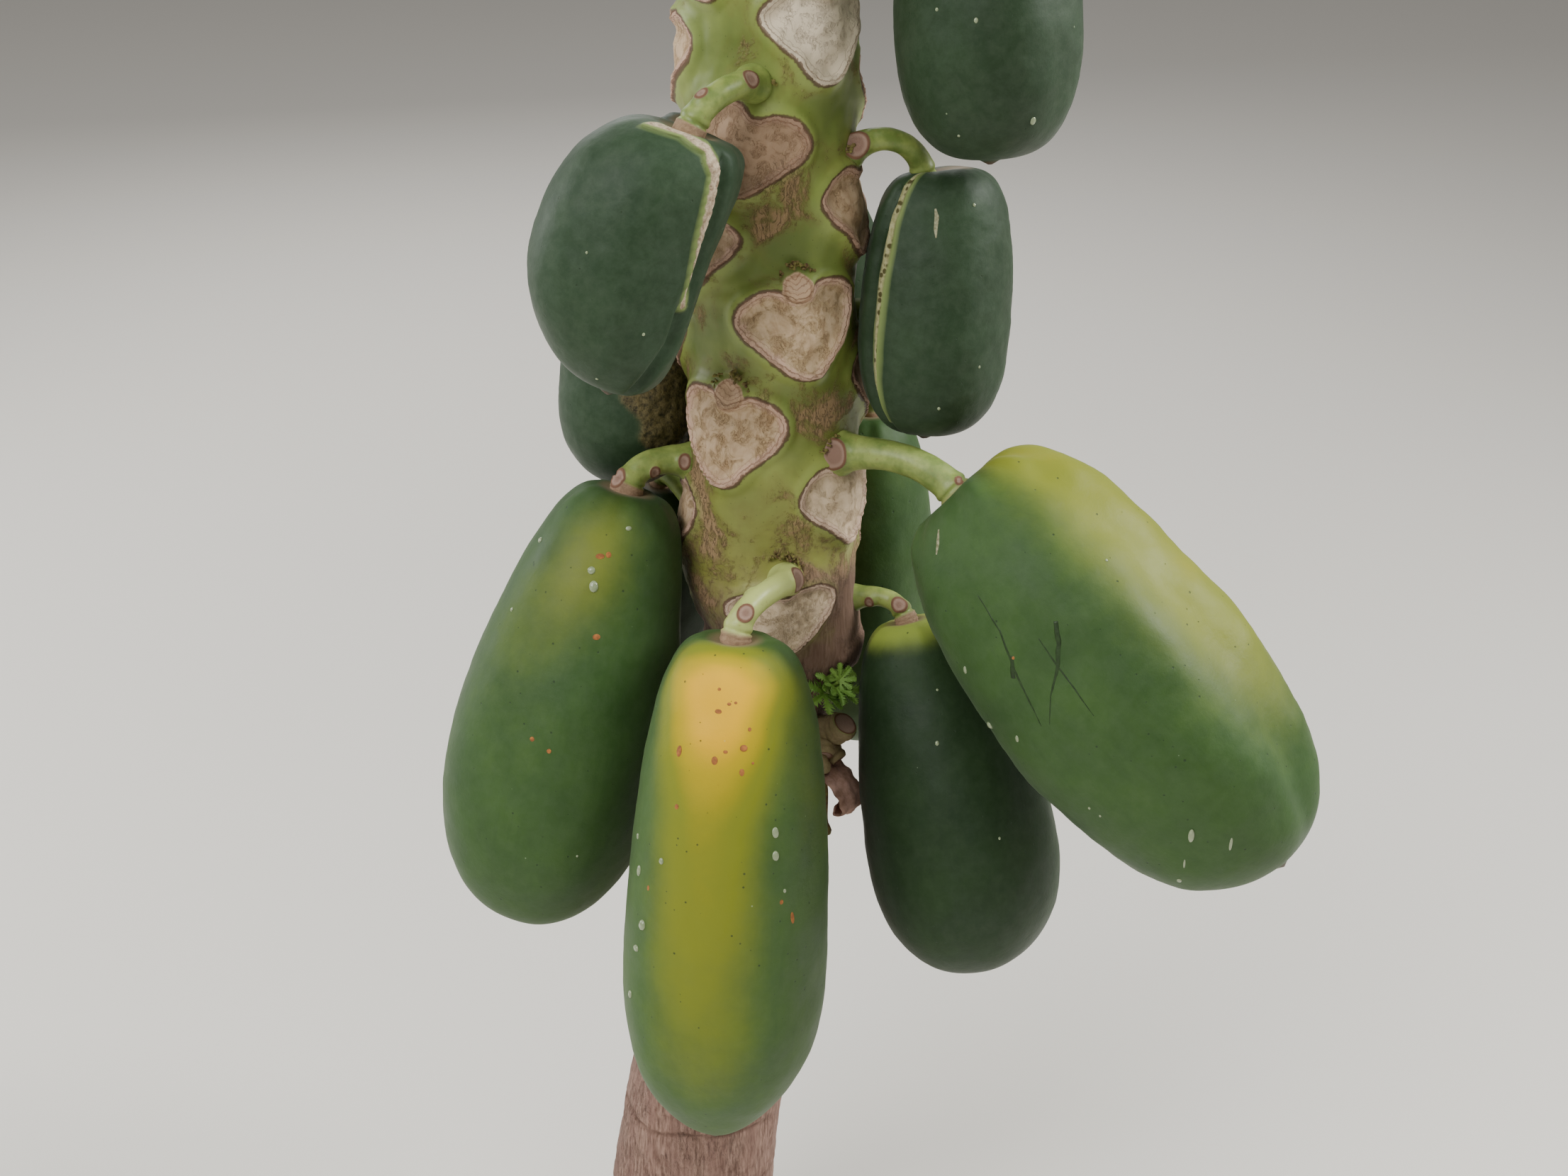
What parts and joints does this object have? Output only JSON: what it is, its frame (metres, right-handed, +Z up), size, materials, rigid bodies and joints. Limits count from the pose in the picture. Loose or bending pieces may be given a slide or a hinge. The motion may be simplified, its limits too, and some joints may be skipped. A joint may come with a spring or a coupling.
{
  "type": "papaya tree",
  "caption": "Rooted papaya tree in fruit: a leaning trunk with heart-shaped leaf scars, papayas on stalks from the leaf axils, and a crown of lobed leaves.",
  "frame": {"origin": "middle of the flat cut under the trunk, at ground level", "axes": "+Z up along the tree, -Y towards the side with the ripest fruit, +X to the right of it"},
  "size_m": [1.6844, 1.7463, 1.9494],
  "materials": {
    "bark": "smooth green bark with brown corky blotches, pinkish brown and finely wrinkled on the old stem",
    "scar": "dry fibrous leaf scar, matt",
    "green_skin": "waxy green fruit skin with a faint bloom",
    "ripe_skin": "waxy fruit skin that turns from green to orange yellow",
    "stalk": "satin yellow-green fruit stalk with round brown scars",
    "dry_stalk": "dead dry stalk, matt",
    "leaf": "satin leaf blade with pale veins",
    "petiole": "smooth pale green petiole",
    "blossom": "waxy cream blossom"
  },
  "bodies": {
    "root": {"dry_bract": "dry_stalk", "fruit_front": "ripe_skin", "fruit_left_lower": "green_skin", "fruit_left_rear": "green_skin", "fruit_left_upper": "green_skin", "fruit_rear_left": "green_skin", "fruit_rear_lower": "green_skin", "fruit_rear_right": "green_skin", "fruit_rear_small": "green_skin", "fruit_rear_upper": "green_skin", "fruit_right_large": "green_skin", "fruit_right_lower": "green_skin", "fruit_right_rear": "green_skin", "fruit_right_top": "green_skin", "fruit_right_upper": "green_skin", "fruit_stub": "dry_stalk", "fruit_upper_1": "green_skin", "fruit_upper_10": "green_skin", "fruit_upper_11": "green_skin", "fruit_upper_12": "green_skin", "fruit_upper_2": "green_skin", "fruit_upper_3": "green_skin", "fruit_upper_4": "green_skin", "fruit_upper_5": "green_skin", "fruit_upper_6": "green_skin", "fruit_upper_7": "green_skin", "fruit_upper_8": "green_skin", "fruit_upper_9": "green_skin", "growing_tip": "leaf", "leaf_01": "leaf", "leaf_02": "leaf", "leaf_03": "leaf", "leaf_04": "leaf", "leaf_05": "leaf", "leaf_06": "leaf", "leaf_07": "leaf", "leaf_08": "leaf", "leaf_09": "leaf", "leaf_10": "leaf", "leaf_11": "leaf", "leaf_12": "leaf", "leaf_13": "leaf", "leaf_14": "leaf", "leaf_15": "leaf", "leaf_16": "leaf", "leaf_17": "leaf", "leaf_18": "leaf", "leaf_19": "leaf", "leaf_20": "leaf", "side_sprout": "leaf", "trunk": "bark"}
  },
  "joints": []
}
